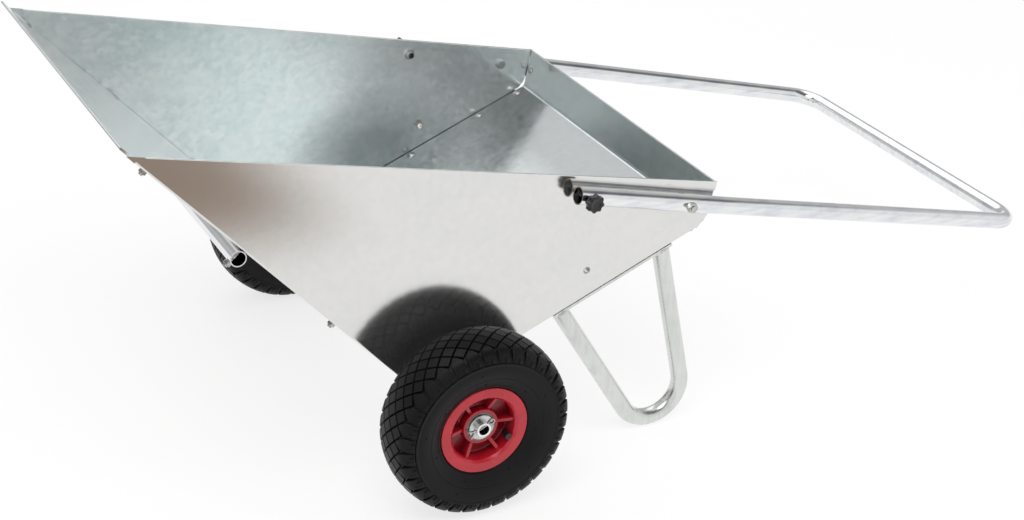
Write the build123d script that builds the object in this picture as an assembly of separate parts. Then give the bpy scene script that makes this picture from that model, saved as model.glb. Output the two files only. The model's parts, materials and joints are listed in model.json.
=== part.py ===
from build123d import *
import math
import os

# Two-wheeled tipping barrow, in millimetres.
# It is drawn in the rim's own frame: the nose of the tub at the origin, X back along the rim,
# Y to the user's right, Z square to the rim. At the end it is set down on its wheels and feet.

# Tub
rim_length = 855.0
tub_width = 550.0
fold_setback = 470.0
fold_depth = 329.0
back_wall_height = 62.0
sheet = 1.2
fold_bend = 1.8
fold_relief = 4.0
back_fold_bend = 8.0
flange_width = 24.0
flange_setback = 14.0
flange_bend = 1.8
flange_strip = 6.0
hem_width = 11.0
hem_gap = 0.8
hem_bend_share = 0.3
hem_setback = 24.0
sheet_gap = 0.3
panel_corner_cut = 15.0
nose_reach = 12.0
lap_length = 76.0
lap_setback = 4.0
lap_side_gap = 2.0

# Seam fasteners
bolt_diameter = 6.0
bolt_hole_gap = 0.3
bolt_head_diameter = 13.0
bolt_head_height = 3.4
bolt_head_edge = 0.8
bolt_tip = 2.5
nut_across = 10.0
nut_height = 5.0
nut_bore_gap = 0.05
nut_corner_angle = 30.0
seam_bolt_inset = 12.5
front_seam_first = 36.0
front_seam_middle = 388.0
front_seam_last = 538.0
cross_tube_setback = 209.0
rear_seam_setback = 20.0
back_corner_drop = 30.0
lap_bolt_along = 46.0
lap_bolt_spacing = 130.0

# Tubes of the legs and handle, and the thinner cross tube under the nose
tube_diameter = 25.0
cross_tube_diameter = 22.0
tube_wall = 1.5
tube_seat_gap = 0.2

# Legs
leg_setback = 157.5232
leg_spread = 171.0
leg_bend_radius = 50.0
leg_bar_thickness = 4.0
leg_bar_width = 30.0
leg_bar_overhang = 1.0
leg_bolt_gap = 8.5
park_tilt = 12.4

# Axle
axle_diameter = 20.0
axle_wall = 2.5
axle_along = 38.0
axle_drop = 28.6
axle_gap = 0.1
axle_end_reach = 7.7
bracket_thickness = 3.0
bracket_length = 60.0
bracket_base_width = 36.0
bracket_eye_wall = 8.0
bracket_setback = 5.0
bracket_bolt_spacing = 42.0
spacer_wall = 3.0
washer_diameter = 36.0
washer_thickness = 2.0
pin_wire = 1.9
pin_pitch = 2.1
pin_gap = 0.4
pin_hole_gap = 0.3
pin_eye_width = 6.4
pin_eye_length = 8.0
pin_eye_flat = 0.4
pin_leg_length = 9.0
pin_leg_spread = 35.0
pin_bend_radius = 2.5
pin_angle = 36.0

# Wheels
tyre_diameter = 260.0
tyre_width = 85.0
tyre_gap = 20.5
shoulder_width = 74.0
shoulder_drop = 7.5
sidewall_thickness = 5.0
tread_thickness = 11.0
tread_lugs = 34
tread_groove_depth = 5.0
tread_groove_width = 5.0
tread_groove_reach = 22.0
tread_groove_slant = 12.0
bead_diameter = 101.6
bead_height = 9.5
bead_width = 8.0
bead_gap = 0.1
inner_tube_wall = 2.0
inner_tube_gap = 0.3
rim_flange_diameter = 127.0
rim_flange_thickness = 3.0
rim_face = 31.0
rim_face_inner_diameter = 100.0
rim_barrel_wall = 4.5
rim_web = 5.0
rim_split_gap = 0.05
rib_count = 6
rib_thickness = 5.0
rib_hub_drop = 3.0
rib_face_drop = 5.0
rib_angle = -15.0
hub_outer_reach = 19.0
hub_inner_reach = 42.0
hub_wall = 4.5
hub_shoulder = 3.0
bearing_diameter = 42.0
bearing_width = 12.0
bearing_ring = 4.0
bearing_shield = 1.0
bearing_shield_inset = 0.6
bearing_run_gap = 0.1
bearing_seat_gap = 0.02
ring_proud = 0.4
screw_diameter = 4.0
screw_head_diameter = 8.0
screw_head_height = 2.4
screw_depth = 4.4
screw_circle_radius = 36.0
screw_gap = 0.1
valve_radius_place = 41.0
valve_axial_place = 13.0
valve_diameter = 7.0
valve_bend_radius = 6.0
valve_hole_gap = 0.3
valve_bore = 2.5
valve_tip = 29.0
cap_diameter = 9.0
cap_length = 10.0
cap_wall = 0.9
cap_gap = 0.05

# Handle
pivot_inset = 54.0
pivot_drop = 28.0
arm_slope = 1.6
arm_front = 177.0
handle_reach = 641.0
handle_end_width = 549.0
handle_bend_radius = 42.0
arm_straight = 80.0
arm_bend_radius = 400.0
arm_play = 0.3
pivot_diameter = 8.0
pivot_fit = 0.05
pivot_head_across = 13.0
pivot_head_height = 5.3
pivot_nut_height = 8.0
pivot_tip = 2.0
pivot_washer_diameter = 20.0
pivot_washer_thickness = 1.0

# Handle lock
lock_radius = 165.0
lock_raise = 43.5
stud_diameter = 8.0
stud_hole_gap = 0.3
stud_seat_gap = 0.02
thread_gap = 0.1
stud_clear = 0.4
knob_travel = 2.5
collar_thickness = 2.0
collar_diameter = 13.0
collar_gap = 0.1
knob_neck_length = 2.0
knob_neck_diameter = 13.0
knob_head_thickness = 11.0
knob_diameter = 26.5
knob_lobes = 8
knob_scallop_radius = 4.3
knob_scallop_depth = 1.9
knob_edge = 1.4
insert_collar_diameter = 10.6
insert_collar_gap = 0.1
insert_flange_diameter = 16.0
insert_flange_thickness = 1.5
insert_body_diameter = 11.5
insert_length = 9.0

# Places worked out from the sizes
half_width = tub_width / 2
hem_thickness = 2 * sheet + hem_gap
hem_bend = hem_gap * hem_bend_share
tube_radius = tube_diameter / 2
tube_bore_radius = tube_radius - tube_wall
bolt_radius = bolt_diameter / 2
bolt_hole_radius = bolt_radius + bolt_hole_gap
axle_radius = axle_diameter / 2
tyre_radius = tyre_diameter / 2
wheel_middle = half_width + tyre_gap + tyre_width / 2
seam_bolt_side = half_width - seam_bolt_inset
across = Vector(0, 1, 0)
nose = Vector(0, 0, 0)
low_fold = Vector(fold_setback, 0, -fold_depth)
back_foot = Vector(rim_length, 0, -back_wall_height)
back_top = Vector(rim_length, 0, 0)


def wall_plane(start, end):
    along = (end - start).normalized()
    return Plane(origin=start, x_dir=along, z_dir=along.cross(across))


# Each wall of the tub has a plane: X along the wall, Y to the right, Z into the tub.
# Height zero is the outside of the side panels' seam flanges.
front_wall = wall_plane(nose, low_fold)
bottom_wall = wall_plane(low_fold, back_foot)
back_wall = wall_plane(back_foot, back_top)
front_length = (low_fold - nose).length
bottom_length = (back_foot - low_fold).length
leg_middle_along = bottom_length - leg_setback


def side_view(wall, along, height):
    point = wall.from_local_coords(Vector(along, 0, height))
    return (point.X, point.Z)


# How far along the first wall a line at one height meets a line at another height over the second
def meeting(first_wall, first_height, second_wall, second_height):
    start = first_wall.from_local_coords(Vector(0, 0, first_height))
    missing = second_height - second_wall.to_local_coords(start).Z
    return missing / first_wall.x_dir.dot(second_wall.z_dir)


def corner(first_wall, first_height, second_wall, second_height):
    along = meeting(first_wall, first_height, second_wall, second_height)
    return side_view(first_wall, along, first_height)


def shifted_left(points, distance):
    headings = [(Vector(b) - Vector(a)).normalized() for a, b in zip(points, points[1:])]
    lefts = [Vector(-heading.Y, heading.X) for heading in headings]
    moved = [Vector(points[0]) + lefts[0] * distance]
    for point, before, after in zip(points[1:-1], lefts, lefts[1:]):
        moved.append(Vector(point) + (before + after) * (distance / (1 + before.dot(after))))
    moved.append(Vector(points[-1]) + lefts[-1] * distance)
    return [(point.X, point.Y) for point in moved]


# A bent strip of sheet seen on edge. The line is its outside, every bend turns left,
# and the radii are those on the inside of the bends.
def bent_strip(points, radii):
    inside = shifted_left(points, sheet)
    outer_line = FilletPolyline(*points, radius=[radius + sheet for radius in radii])
    inner_line = FilletPolyline(*inside, radius=radii)
    ends = [Line(points[0], inside[0]), Line(points[-1], inside[-1])]
    return make_face(outer_line.edges() + inner_line.edges() + ends)


def slab(plane, along, side, height, length, width, thickness):
    corner_box = Box(length, width, thickness, align=(Align.MIN, Align.MIN, Align.MIN))
    return plane * Pos(along, side, height) * corner_box


def rod(radius, bottom, top):
    return Pos(0, 0, bottom) * Cylinder(radius, top - bottom, align=(Align.CENTER, Align.CENTER, Align.MIN))


def hollow_rod(radius, bore_radius, bottom, top):
    return rod(radius, bottom, top) - rod(bore_radius, bottom, top)


def both_sides(shape):
    return [shape, mirror(shape, about=Plane.XZ)]


def group(shapes):
    return Compound([solid for shape in shapes for solid in shape.solids()])


# Fasteners stand on Z: the head above its seat, the nut below its own.
def domed_head(seat):
    radius = bolt_head_diameter / 2
    rise = bolt_head_height - bolt_head_edge
    sphere_radius = (radius**2 + rise**2) / (2 * rise)
    sphere_middle = seat + bolt_head_height - sphere_radius
    half_way = math.asin(radius / sphere_radius) / 2
    shoulder = (sphere_radius * math.sin(half_way), sphere_middle + sphere_radius * math.cos(half_way))
    rim = (radius, seat + bolt_head_edge)
    crown = (0, seat + bolt_head_height)
    side = Polyline(crown, (0, seat), (radius, seat), rim)
    dome = ThreePointArc(rim, shoulder, crown)
    return revolve(Plane.XZ * make_face(side.edges() + dome.edges()), Axis.Z)


def domed_bolt(seat, tip):
    return domed_head(seat) + rod(bolt_radius, tip, seat)


def turned(points):
    return revolve(Plane.XZ * make_face(Polyline(*points, close=True)), Axis.Z)


def hex_prism(size_across, bottom, height):
    prism = Pos(0, 0, bottom) * extrude(RegularPolygon(size_across / 2, 6, major_radius=False), height)
    flat_radius = size_across / 2
    corner_radius = flat_radius / math.cos(math.pi / 6)
    cut = (corner_radius - flat_radius) * math.tan(math.radians(nut_corner_angle))
    top = bottom + height
    outline = [
        (0, bottom),
        (flat_radius, bottom),
        (corner_radius, bottom + cut),
        (corner_radius, top - cut),
        (flat_radius, top),
        (0, top),
    ]
    return prism & turned(outline)


def hex_nut(size_across, top, height, bore_radius):
    return hex_prism(size_across, top - height, height) - rod(bore_radius, top - height, top)


def seam_nut(top):
    return hex_nut(nut_across, top, nut_height, bolt_radius + nut_bore_gap)


def bolt_hole(top, bottom):
    return rod(bolt_hole_radius, bottom, top)


# Places of the seam fasteners on each wall, as distance along it and side
front_seam_places = [
    (along, side * seam_bolt_side)
    for along in (front_seam_first, front_seam_middle, front_seam_last)
    for side in (-1, 1)
]
cross_tube_places = [(cross_tube_setback, side * seam_bolt_side) for side in (-1, 1)]
rear_seam_places = [(bottom_length - rear_seam_setback, side * seam_bolt_side) for side in (-1, 1)]
leg_bolt_reach = leg_spread / 2 - tube_radius - leg_bolt_gap
leg_bolt_places = [
    (leg_middle_along + end * leg_bolt_reach, side * seam_bolt_side) for end in (-1, 1) for side in (-1, 1)
]
back_corner_places = [(back_wall_height - back_corner_drop, side * seam_bolt_side) for side in (-1, 1)]
lap_bolt_places = [(lap_bolt_along, step * lap_bolt_spacing) for step in (-1, 0, 1)]
bracket_outside = half_width - flange_width - bracket_setback
bracket_bolt_side = bracket_outside - bracket_thickness - (bracket_base_width - bracket_thickness) / 2
bracket_bolt_places = [
    (axle_along + end * bracket_bolt_spacing / 2, side * bracket_bolt_side)
    for end in (-1, 1)
    for side in (-1, 1)
]


def at_places(wall, places, shape):
    return [wall * Pos(along, side, 0) * shape for along, side in places]


sheet_drill = bolt_hole(2 * sheet + flange_bend, -flange_bend)
front_drills = at_places(front_wall, front_seam_places + cross_tube_places, sheet_drill)
bottom_drills = at_places(
    bottom_wall, rear_seam_places + leg_bolt_places + lap_bolt_places + bracket_bolt_places, sheet_drill
)
back_drills = at_places(back_wall, back_corner_places, sheet_drill)

# Handle plane: X back along the arms, Y across, from the pivot
slope = math.radians(arm_slope)
pivot_point = Vector(rim_length - pivot_inset, 0, -pivot_drop)
handle_plane = Plane(
    origin=pivot_point,
    x_dir=(math.cos(slope), 0, -math.sin(slope)),
    z_dir=(math.sin(slope), 0, math.cos(slope)),
)
arm_middle = half_width + pivot_washer_thickness + arm_play + tube_radius
arm_outside = arm_middle + tube_radius
lock_here = handle_plane.from_local_coords(Vector(-lock_radius, 0, 0))
lock_raised = (lock_here - pivot_point).rotate(Axis.Y, -lock_raise) + pivot_point


# Bodies on an axis across the barrow: Z of the drawing runs outward on the right side.
def on_right(point, shape):
    return Plane(origin=(point.X, 0, point.Z), x_dir=(1, 0, 0), z_dir=(0, 1, 0)) * shape


# Side panels: flat sheet with folded seam flanges and a hemmed rim
def seam_fold(wall, start, end):
    section = Plane(origin=wall.from_local_coords(Vector(start, 0, 0)), x_dir=across, z_dir=wall.x_dir)
    line = [(half_width - flange_width, 0), (half_width, 0), (half_width, flange_strip)]
    return extrude(section * bent_strip(line, [flange_bend]), end - start, dir=wall.x_dir)


def side_panel():
    back_corner = side_view(back_wall, panel_corner_cut, 0)
    low_corner = side_view(bottom_wall, bottom_length - panel_corner_cut, 0)
    outline = [(0, 0), (rim_length, 0), back_corner, low_corner, (low_fold.X, low_fold.Z)]
    blank = make_face(Polyline(*outline, close=True))
    panel = Pos(0, half_width - sheet, 0) * extrude(Plane.XZ * blank, sheet, dir=across)
    seams = [
        (front_wall, flange_setback, front_length - flange_setback),
        (bottom_wall, flange_setback, bottom_length - panel_corner_cut - flange_bend),
        (back_wall, panel_corner_cut + flange_bend, back_wall_height - hem_width - flange_bend),
    ]
    inside = half_width - 2 * sheet
    for wall, start, end in seams:
        panel -= slab(wall, start, inside, 0, end - start, 3 * sheet, flange_strip)
    for wall, start, end in seams:
        panel += seam_fold(wall, start, end)
    hem_length = rim_length - hem_thickness - 2 * sheet - hem_gap - hem_setback
    hem_top = Plane(origin=(hem_setback, 0, 0), x_dir=across, z_dir=(1, 0, 0))
    hem_line = [
        (half_width, -flange_strip),
        (half_width, 0),
        (half_width - hem_thickness, 0),
        (half_width - hem_thickness, -hem_width),
    ]
    panel -= slab(Plane.XY, hem_setback, inside, -flange_strip, hem_length, 3 * sheet, flange_strip)
    panel += extrude(hem_top * bent_strip(hem_line, [hem_bend, hem_bend]), hem_length, dir=hem_top.z_dir)
    panel -= front_drills + bottom_drills + back_drills
    pivot_drill = rod(pivot_diameter / 2 + bolt_hole_gap, inside, half_width + sheet)
    lock_drill = rod(insert_collar_diameter / 2 + insert_collar_gap, inside, half_width + sheet)
    panel -= on_right(pivot_point, pivot_drill)
    panel -= [on_right(place, lock_drill) for place in (lock_here, lock_raised)]
    return panel


right_side_panel = side_panel()
left_side_panel = mirror(right_side_panel, about=Plane.XZ)

# Front sheet: hemmed nose a little ahead of the side panels, sloping floor, and a lap under the rear sheet
between_panels = tub_width - 2 * (sheet + flange_bend + sheet_gap)
front_hem = [
    side_view(front_wall, hem_width - nose_reach, sheet + hem_thickness),
    side_view(front_wall, -nose_reach, sheet + hem_thickness),
    side_view(front_wall, -nose_reach, sheet),
]
front_short_end = [side_view(front_wall, front_length - fold_relief, sheet)]
front_lap = [corner(front_wall, sheet, bottom_wall, 0), side_view(bottom_wall, lap_length, 0)]
lap_width = tub_width - 2 * (flange_width + lap_side_gap)
front_sheet = extrude(
    Plane.XZ * bent_strip(front_hem + front_short_end, [hem_bend, hem_bend]), between_panels / 2, both=True
)
front_sheet += extrude(
    Plane.XZ * bent_strip(front_hem + front_lap, [hem_bend, hem_bend, fold_bend]), lap_width / 2, both=True
)
front_sheet -= front_drills + bottom_drills

# Rear sheet: sloping bottom, back wall and its hem
rear_start = meeting(bottom_wall, sheet, front_wall, 2 * sheet)
rear_line = [
    side_view(bottom_wall, rear_start + lap_setback, sheet),
    corner(bottom_wall, sheet, back_wall, sheet),
    side_view(back_wall, back_wall_height, sheet),
    side_view(back_wall, back_wall_height, sheet + hem_thickness),
    side_view(back_wall, back_wall_height - hem_width, sheet + hem_thickness),
]
rear_sheet = extrude(
    Plane.XZ * bent_strip(rear_line, [back_fold_bend, hem_bend, hem_bend]), between_panels / 2, both=True
)
rear_sheet -= bottom_drills + back_drills

# Cross tube under the nose, open at both ends
cross_tube_radius = cross_tube_diameter / 2
cross_tube_height = -cross_tube_radius - tube_seat_gap
cross_tube = front_wall * Pos(cross_tube_setback, 0, cross_tube_height) * Rot(90, 0, 0)
cross_tube_solid = cross_tube * (
    Cylinder(cross_tube_radius, tub_width) - Cylinder(cross_tube_radius - tube_wall, tub_width)
)
cross_tube_low = cross_tube_height - cross_tube_radius
cross_tube_solid -= at_places(front_wall, cross_tube_places, bolt_hole(0, cross_tube_low))


def fastened(wall, places, seat, under):
    bolt = domed_bolt(seat, under - nut_height - bolt_tip)
    return group(at_places(wall, places, bolt)), group(at_places(wall, places, seam_nut(under)))


front_seam_bolts, front_seam_nuts = fastened(front_wall, front_seam_places, 2 * sheet, 0)
cross_tube_bolts, cross_tube_nuts = fastened(
    front_wall, cross_tube_places, 2 * sheet, cross_tube_low - tube_seat_gap
)
rear_seam_bolts, rear_seam_nuts = fastened(bottom_wall, rear_seam_places, 2 * sheet, 0)
back_corner_bolts, back_corner_nuts = fastened(back_wall, back_corner_places, 2 * sheet, 0)
lap_bolts, lap_nuts = fastened(bottom_wall, lap_bolt_places, 2 * sheet, 0)
leg_bolts, leg_nuts = fastened(bottom_wall, leg_bolt_places, 2 * sheet, -leg_bar_thickness)
bracket_bolts, bracket_nuts = fastened(bottom_wall, bracket_bolt_places, 2 * sheet, -bracket_thickness)

# Axle line, and the ground that the wheels stand on
axle_point = bottom_wall.from_local_coords(Vector(axle_along, 0, -axle_drop))
tilt = math.radians(park_tilt)
up = Vector(-math.sin(tilt), 0, math.cos(tilt))
ground_level = axle_point.dot(up) - tyre_radius

# Legs: a tube loop whose bend reaches the ground, welded to a flat bar under the bottom sheet
leg_root = bottom_wall.from_local_coords(Vector(leg_middle_along, 0, -leg_bar_thickness))
leg_depth = (leg_root.dot(up) - ground_level - leg_bend_radius - tube_radius) / bottom_wall.z_dir.dot(up)
leg_diagonal = math.hypot(leg_spread / 2, leg_depth)
leg_lean = math.acos(leg_bend_radius / leg_diagonal) - math.atan2(leg_depth, leg_spread / 2)
leg_side = half_width - tube_radius


def leg_pair():
    plane = Plane(
        origin=leg_root + across * leg_side, x_dir=bottom_wall.x_dir, z_dir=-across
    )
    reach_x = leg_bend_radius * math.cos(leg_lean)
    reach_y = -leg_depth - leg_bend_radius * math.sin(leg_lean)
    top_x = leg_spread / 2 + tube_radius * math.tan(leg_lean)
    front_branch = Line((-top_x, tube_radius), (-reach_x, reach_y))
    foot = ThreePointArc((-reach_x, reach_y), (0, -leg_depth - leg_bend_radius), (reach_x, reach_y))
    rear_branch = Line((reach_x, reach_y), (top_x, tube_radius))
    path = plane * (front_branch + foot + rear_branch)
    start = Plane(origin=path @ 0, z_dir=path % 0)
    outside = sweep(start * Circle(tube_radius), path)
    inside = sweep(start * Circle(tube_bore_radius), path)
    above = slab(bottom_wall, 0, 0, -leg_bar_thickness, bottom_length, tub_width, tube_diameter)
    return both_sides(outside - inside - above)


right_leg, left_leg = leg_pair()
leg_bar_length = leg_spread + tube_diameter / math.cos(leg_lean) + 2 * leg_bar_overhang
leg_bar_start = leg_middle_along - leg_bar_length / 2
leg_bar = slab(
    bottom_wall,
    leg_bar_start,
    half_width - leg_bar_width,
    -leg_bar_thickness,
    leg_bar_length,
    leg_bar_width,
    leg_bar_thickness,
)
leg_bar -= at_places(bottom_wall, leg_bolt_places, bolt_hole(sheet, -leg_bar_thickness - sheet))
right_leg_bar, left_leg_bar = both_sides(leg_bar)


# Axle brackets: a foot under the lap and a plate with an eye for the axle
def axle_bracket():
    eye_radius = axle_radius + bracket_eye_wall
    plate_plane = Plane(
        origin=bottom_wall.origin + across * bracket_outside, x_dir=bottom_wall.x_dir, z_dir=-across
    )
    left_end = axle_along - bracket_length / 2
    right_end = axle_along + bracket_length / 2
    cheek = Polyline(
        (left_end, 0),
        (right_end, 0),
        (right_end, -bracket_thickness),
        (axle_along + eye_radius, -axle_drop),
        (axle_along - eye_radius, -axle_drop),
        (left_end, -bracket_thickness),
        close=True,
    )
    eye = Pos(axle_along, -axle_drop) * Circle(eye_radius)
    plate = extrude(plate_plane * (make_face(cheek) + eye), bracket_thickness, dir=-across)
    foot = slab(
        bottom_wall,
        left_end,
        bracket_outside - bracket_base_width,
        -bracket_thickness,
        bracket_length,
        bracket_base_width,
        bracket_thickness,
    )
    bore = on_right(axle_point, rod(axle_radius + axle_gap, 0, half_width))
    return plate + foot - bore - at_places(
        bottom_wall, bracket_bolt_places, bolt_hole(sheet, -bracket_thickness - sheet)
    )


right_axle_bracket, left_axle_bracket = both_sides(axle_bracket())

# Along the axle, outward from the bracket
ring_outer_face = wheel_middle + hub_outer_reach + ring_proud
ring_inner_face = wheel_middle - hub_inner_reach - ring_proud
inner_washer_face = ring_inner_face - washer_thickness
outer_washer_face = ring_outer_face + washer_thickness
pin_side = outer_washer_face + pin_gap + pin_wire / 2
axle_half_length = outer_washer_face + axle_end_reach
sleeve_bore = axle_radius + axle_gap
pin_hole_radius = (pin_wire + pin_pitch) / 2 + pin_hole_gap


def axle_turn(angle):
    return Plane(
        origin=(axle_point.X, 0, axle_point.Z),
        x_dir=(math.cos(math.radians(angle)), 0, math.sin(math.radians(angle))),
        z_dir=across,
    )


def axle():
    bar = hollow_rod(axle_radius, axle_radius - axle_wall, -axle_half_length, axle_half_length)
    drill = Rot(0, 90, 0) * Cylinder(pin_hole_radius, axle_diameter * 2)
    bar -= [Pos(0, 0, pin_side) * drill, Pos(0, 0, -pin_side) * drill]
    return axle_turn(pin_angle) * bar


axle_tube = axle()
spacer = hollow_rod(sleeve_bore + spacer_wall, sleeve_bore, bracket_outside, inner_washer_face)
axle_spacers = group(both_sides(on_right(axle_point, spacer)))
inner_washer = hollow_rod(washer_diameter / 2, sleeve_bore, inner_washer_face, ring_inner_face)
inner_washers = group(both_sides(on_right(axle_point, inner_washer)))
outer_washer = hollow_rod(washer_diameter / 2, sleeve_bore, ring_outer_face, outer_washer_face)
outer_washers = group(both_sides(on_right(axle_point, outer_washer)))


# Split pin: one wire, out along the axle hole, round its eye and back, with the legs bent apart
def split_pin():
    bend_x = -axle_radius - pin_bend_radius
    leg_x = bend_x - pin_leg_length * math.cos(math.radians(pin_leg_spread))
    leg_y = pin_pitch / 2 + pin_leg_length * math.sin(math.radians(pin_leg_spread))
    neck_x = axle_radius + pin_wire
    half = [
        (leg_x, leg_y),
        (bend_x, pin_pitch / 2),
        (neck_x, pin_pitch / 2),
        (neck_x + pin_eye_width / 2, pin_eye_width / 2),
        (neck_x + pin_eye_length, pin_eye_width / 2),
    ]
    other_half = [(x, -y) for x, y in reversed(half)]
    eye_bend = pin_eye_width / 2 - pin_eye_flat / 2
    bends = [pin_bend_radius] * 3 + [eye_bend] * 2 + [pin_bend_radius] * 3
    path = FilletPolyline(*half, *other_half, radius=bends)
    start = Plane(origin=path @ 0, z_dir=path % 0)
    return sweep(start * Circle(pin_wire / 2), path)


right_pin = axle_turn(pin_angle) * Pos(0, 0, pin_side) * split_pin()
split_pins = group(both_sides(right_pin))


# Wheel parts, drawn about Z with Z outward, then set on the axle
def ring_band(inner, outer, bottom, top):
    return turned([(inner, bottom), (outer, bottom), (outer, top), (inner, top)])


half_tyre = tyre_width / 2
bead_radius = bead_diameter / 2
flange_radius = rim_flange_diameter / 2
flange_inside = rim_face - rim_flange_thickness
shoulder_radius = tyre_radius - shoulder_drop
bulge_radius = (flange_radius + shoulder_radius) / 2
bearing_radius = bearing_diameter / 2
hub_radius = bearing_radius + hub_wall
barrel_radius = bead_radius - rim_barrel_wall
face_inner_radius = rim_face_inner_diameter / 2
valve_angle = rib_angle + 180 / rib_count
screw_turns = [rib_angle + 360 / rib_count * step for step in range(rib_count)]


# The tyre's outside is one arc across the tread and one arc down each sidewall to the bead.
def tyre_line(inset, tread_inset, low_radius, low_side):
    shoulder = (shoulder_radius - tread_inset, shoulder_width / 2 - inset)
    shoulder_low = (shoulder[0], -shoulder[1])
    crown = ThreePointArc(shoulder_low, (tyre_radius - tread_inset, 0), shoulder)
    bulge = ThreePointArc(shoulder, (bulge_radius, half_tyre - inset), (low_radius, low_side))
    bulge_low = ThreePointArc(shoulder_low, (bulge_radius, inset - half_tyre), (low_radius, -low_side))
    return [crown, bulge, bulge_low]


def tyre():
    outside_low = bead_radius + bead_gap
    outside_side = flange_inside - bead_gap
    bead_top = flange_radius + bead_gap
    inside_side = outside_side - bead_width
    inside_top = outside_low + bead_height
    outer = tyre_line(0, 0, bead_top, outside_side)
    inner = tyre_line(sidewall_thickness, tread_thickness, inside_top, inside_side)
    beads = []
    for side in (-1, 1):
        beads.append(
            Polyline(
                (bead_top, side * outside_side),
                (outside_low, side * outside_side),
                (outside_low, side * inside_side),
                (inside_top, side * inside_side),
            )
        )
    edges = [edge for line in outer + inner + beads for edge in line.edges()]
    carcass = revolve(Plane.XZ * make_face(edges), Axis.Z)
    groove = Box(2 * tread_groove_depth, tread_groove_width, tread_groove_reach)
    groove_radius = tyre_radius - shoulder_drop / 2
    pitch = 360 / tread_lugs
    grooves = []
    for lug in range(tread_lugs):
        for side in (-1, 1):
            turn = Rot(0, 0, (lug + side / 4) * pitch)
            slant = Rot(side * tread_groove_slant, 0, 0)
            middle = Pos(groove_radius, 0, side * (shoulder_width - tread_groove_reach) / 2)
            lean = Rot(0, -side * math.degrees(math.atan2(shoulder_drop, shoulder_width / 2)), 0)
            grooves.append(turn * middle * lean * slant * groove)
    return carcass - grooves


def inner_tube_section(inset):
    low = bead_radius + inset
    top = low + bead_height
    side = flange_inside - bead_gap - bead_width - inset
    lines = tyre_line(sidewall_thickness + inset, tread_thickness + inset, top, side)
    foot = Polyline((top, side), (low, side), (low, -side), (top, -side))
    return make_face([edge for line in lines + [foot] for edge in line.edges()])


def inner_tube():
    low = bead_radius + inner_tube_gap
    body = revolve(Plane.XZ * inner_tube_section(inner_tube_gap), Axis.Z)
    body -= revolve(Plane.XZ * inner_tube_section(inner_tube_gap + inner_tube_wall), Axis.Z)
    mouth = Pos(low, 0, valve_axial_place) * Rot(0, 90, 0) * Cylinder(valve_bore / 2, 4 * inner_tube_wall)
    return body - Rot(0, 0, valve_angle) * mouth


# One half of the rim, opening upward: web, hub with a bearing seat, barrel, tyre flange and ribs
def rim_half(hub_reach, first_rib):
    bearing_floor = hub_reach - bearing_width
    through = bearing_radius - hub_shoulder
    seat = bearing_radius + bearing_seat_gap
    half = turned(
        [
            (through, rim_split_gap),
            (bead_radius, rim_split_gap),
            (bead_radius, flange_inside),
            (flange_radius, flange_inside),
            (flange_radius, rim_face),
            (face_inner_radius, rim_face),
            (barrel_radius, flange_inside),
            (barrel_radius, rim_web),
            (hub_radius, rim_web),
            (hub_radius, hub_reach),
            (seat, hub_reach),
            (seat, bearing_floor),
            (through, bearing_floor),
        ]
    )
    hub_top = min(hub_reach, rim_face) - rib_hub_drop
    rib = make_face(
        Polyline(
            (hub_radius - hub_wall / 2, rim_web / 2),
            (barrel_radius + rim_barrel_wall / 2, rim_web / 2),
            (barrel_radius + rim_barrel_wall / 2, flange_inside - rib_face_drop),
            (hub_radius - hub_wall / 2, hub_top),
            close=True,
        )
    )
    blade = extrude(Plane.XZ * rib, rib_thickness / 2, both=True)
    return half + [Rot(0, 0, first_rib + 360 / rib_count * step) * blade for step in range(rib_count)]


def valve_path():
    stem_start = math.sqrt((bead_radius + inner_tube_gap) ** 2 - (valve_diameter / 2) ** 2)
    return FilletPolyline(
        (stem_start, valve_axial_place),
        (valve_radius_place, valve_axial_place),
        (valve_radius_place, valve_tip),
        radius=valve_bend_radius,
    )


def valve_sweep(radius):
    path = Plane.XZ * valve_path()
    return sweep(Plane(origin=path @ 0, z_dir=path % 0) * Circle(radius), path)


def valve_stem():
    return Rot(0, 0, valve_angle) * (valve_sweep(valve_diameter / 2) - valve_sweep(valve_bore / 2))


def valve_cap():
    top = valve_tip + cap_gap + cap_wall
    shell = rod(cap_diameter / 2, top - cap_length, top)
    shell -= rod(valve_diameter / 2 + cap_gap, top - cap_length, valve_tip + cap_gap)
    return Rot(0, 0, valve_angle) * Pos(valve_radius_place, 0, 0) * shell


def rim_outer_half():
    half = rim_half(hub_outer_reach, rib_angle)
    port = Pos(bead_radius, 0, valve_axial_place) * Rot(0, 90, 0)
    port_drill = Cylinder(valve_diameter / 2 + valve_hole_gap, 4 * rim_barrel_wall)
    half -= Rot(0, 0, valve_angle) * port * port_drill
    pilot = Pos(screw_circle_radius, 0, 0) * rod(screw_diameter / 2 + screw_gap, 0, screw_depth + screw_gap)
    return half - [Rot(0, 0, turn) * pilot for turn in screw_turns]


def rim_inner_half():
    half = mirror(rim_half(hub_inner_reach, rib_angle + 180 / rib_count), about=Plane.XY)
    hole = Pos(screw_circle_radius, 0, 0) * rod(screw_diameter / 2 + screw_gap, -2 * rim_web, 0)
    return half - [Rot(0, 0, turn) * hole for turn in screw_turns]


def rim_screw():
    head = rod(screw_head_diameter / 2, -rim_web - screw_head_height, -rim_web)
    return Pos(screw_circle_radius, 0, 0) * (head + rod(screw_diameter / 2, -rim_web, screw_depth))


# Bearings: the outer ring carries two thin shields that stop just short of the inner ring
inner_ring_radius = axle_radius + bearing_ring


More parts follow.
